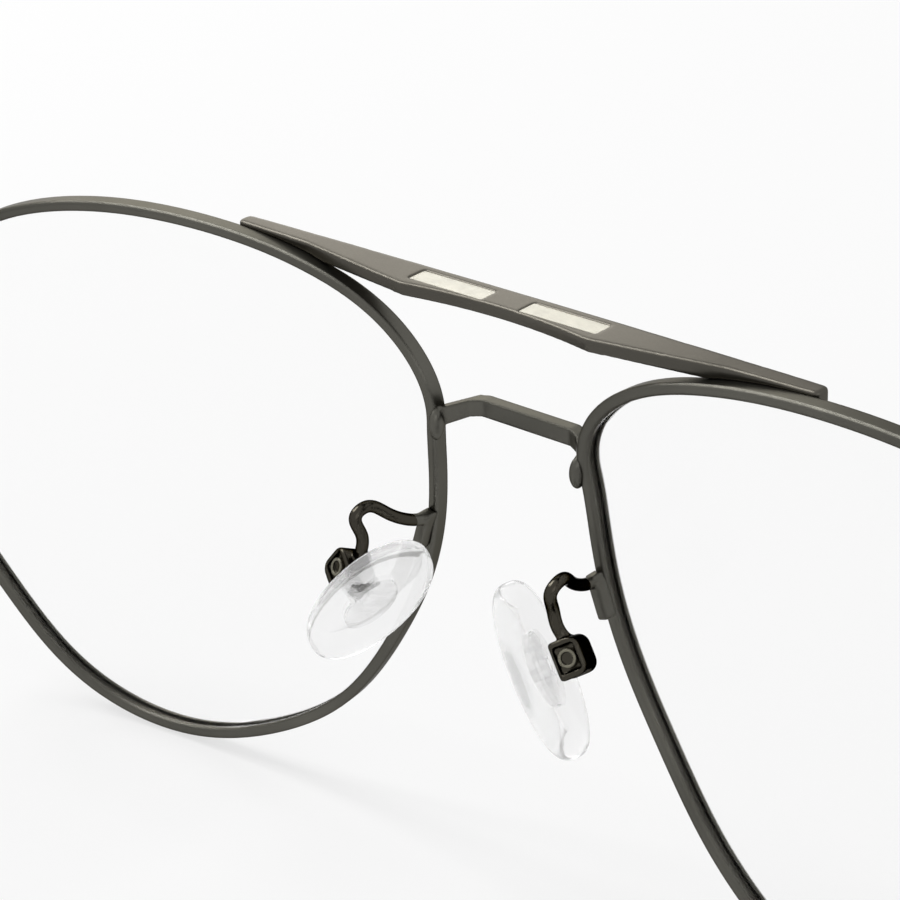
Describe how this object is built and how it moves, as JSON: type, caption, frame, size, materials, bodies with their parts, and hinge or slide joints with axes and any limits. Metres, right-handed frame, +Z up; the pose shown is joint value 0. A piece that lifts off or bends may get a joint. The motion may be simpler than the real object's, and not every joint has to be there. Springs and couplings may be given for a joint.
{
  "type": "double bridge eyeglasses",
  "caption": "Thin metal pilot-shaped eyeglasses with a brow bar above a lower bridge, clear demo lenses, rocking nose pads and folding temples.",
  "frame": {"origin": "centre of the bounding box on the table it stands on", "axes": "+X towards the wearer's left, +Y back towards the ears, +Z up"},
  "size_m": [0.1336, 0.1452, 0.0474],
  "materials": {
    "frame_metal": "satin gunmetal",
    "bar_metal": "satin gunmetal",
    "arm_metal": "polished dark metal",
    "screw_steel": "satin",
    "inlay_enamel": "pale enamel",
    "clear_lens": "clear",
    "clear_pad": "soft clear silicone",
    "insert_plastic": "translucent",
    "tip_plastic": "polished black"
  },
  "bodies": {
    "front": {"brow_bar": "bar_metal", "lower_bridge": "frame_metal", "rim_left": "frame_metal", "rim_right": "frame_metal", "lens_left": "clear_lens", "lens_right": "clear_lens", "endpiece_left": "frame_metal", "endpiece_right": "frame_metal", "closing_block_left": "frame_metal", "closing_block_right": "frame_metal", "rim_screw_left": "screw_steel", "rim_screw_right": "screw_steel", "front_hinge_left": "frame_metal", "front_hinge_right": "frame_metal", "hinge_screw_left": "screw_steel", "hinge_screw_right": "screw_steel", "pad_arm_left": "arm_metal", "pad_arm_right": "arm_metal", "pad_screw_left": "screw_steel", "pad_screw_right": "screw_steel", "brow_bar_inlay_left": "inlay_enamel", "brow_bar_inlay_right": "inlay_enamel"},
    "temple_left_body": {"temple_left": "frame_metal", "temple_hinge_left": "frame_metal", "temple_tip_left": "tip_plastic"},
    "nose_pad_left_body": {"nose_pad_left": "clear_pad", "pad_insert_left": "insert_plastic"},
    "temple_right_body": {"temple_right": "frame_metal", "temple_hinge_right": "frame_metal", "temple_tip_right": "tip_plastic"},
    "nose_pad_right_body": {"nose_pad_right": "clear_pad", "pad_insert_right": "insert_plastic"}
  },
  "joints": [
    {"name": "temple_left_fold", "type": "hinge", "parent": "front", "child": "temple_left_body", "pos_m": [0.0634, -0.05784, 0.03861], "axis": [0, 0, 1], "range_deg": [0, 90]},
    {"name": "nose_pad_left_rock", "type": "hinge", "parent": "front", "child": "nose_pad_left_body", "pos_m": [0.01049, -0.06354, 0.02566], "axis": [0.2683, 0.8813, 0.3889], "range_deg": [-8, 8]},
    {"name": "temple_right_fold", "type": "hinge", "parent": "front", "child": "temple_right_body", "pos_m": [-0.0634, -0.05784, 0.03861], "axis": [0, 0, -1], "range_deg": [0, 86]},
    {"name": "nose_pad_right_rock", "type": "hinge", "parent": "front", "child": "nose_pad_right_body", "pos_m": [-0.01049, -0.06354, 0.02566], "axis": [-0.2683, 0.8813, 0.3889], "range_deg": [-8, 8]}
  ]
}
